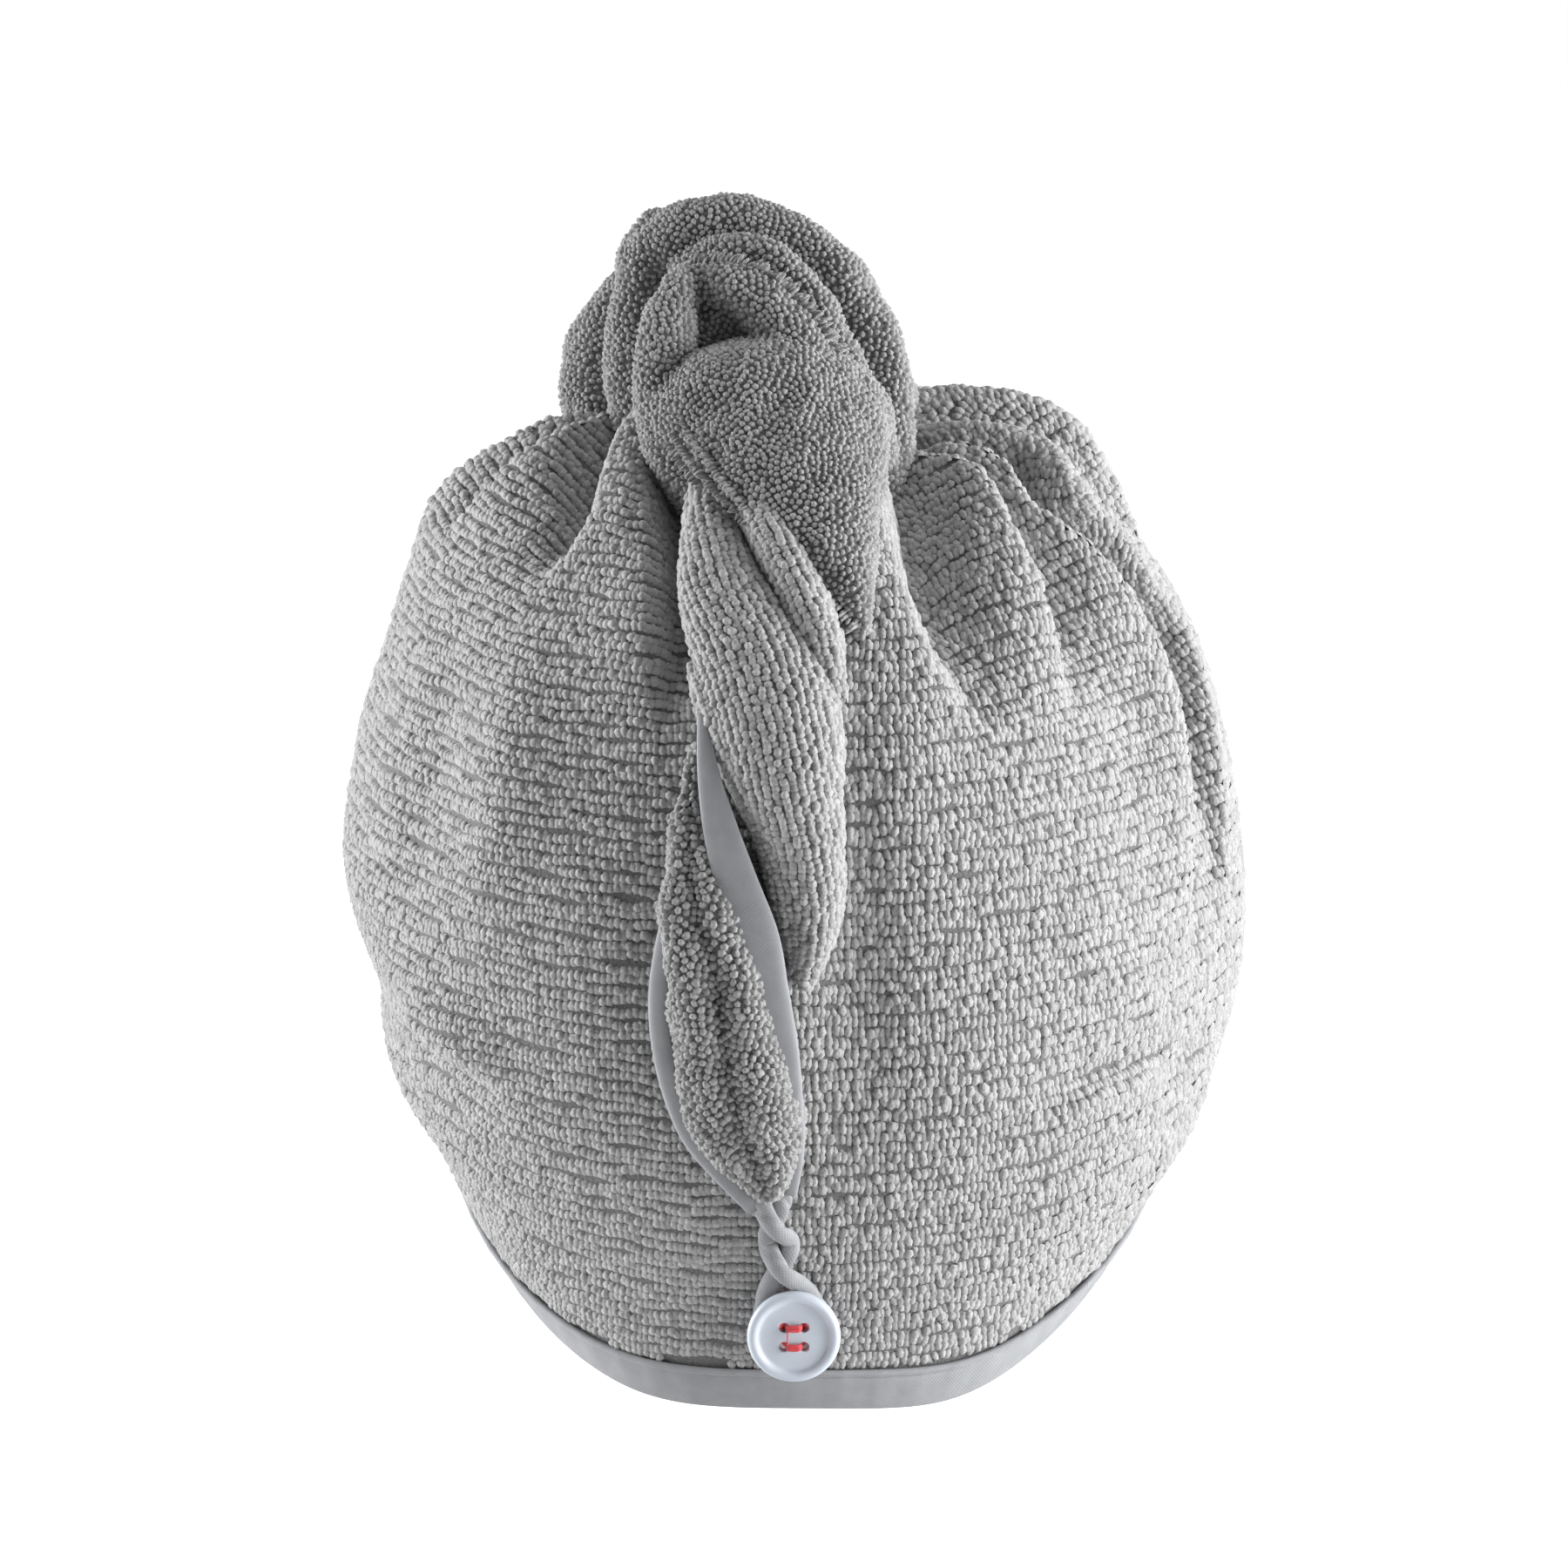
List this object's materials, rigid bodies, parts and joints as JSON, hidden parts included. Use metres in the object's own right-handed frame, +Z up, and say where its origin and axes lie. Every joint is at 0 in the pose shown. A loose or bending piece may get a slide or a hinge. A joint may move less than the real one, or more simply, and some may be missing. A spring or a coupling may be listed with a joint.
{
  "type": "hair turban towel",
  "caption": "Hair turban towel as worn: pleated terry hood with a rolled knot on the crown and a twisted tail looped over a button at the nape.",
  "frame": {"origin": "inside the crown of the hood, where the head bears", "axes": "+Z up along the head, -Y towards the back of the head with the tail and button, +X towards the wearer's right"},
  "size_m": [0.2128, 0.2239, 0.2826],
  "materials": {
    "terry": "grey microfibre terry with short loops",
    "binding": "smooth woven grey binding",
    "cord": "smooth rolled grey cord",
    "button": "glossy pale plastic",
    "thread": "red sewing thread"
  },
  "bodies": {
    "root": {"hood": "terry", "hem_band": "binding", "topknot": "terry", "tail_twist": "terry", "tail_end": "terry", "edge_binding_inner": "binding", "edge_binding_outer": "binding", "loop_cord": "cord", "button": "button", "button_thread": "thread"}
  },
  "joints": []
}
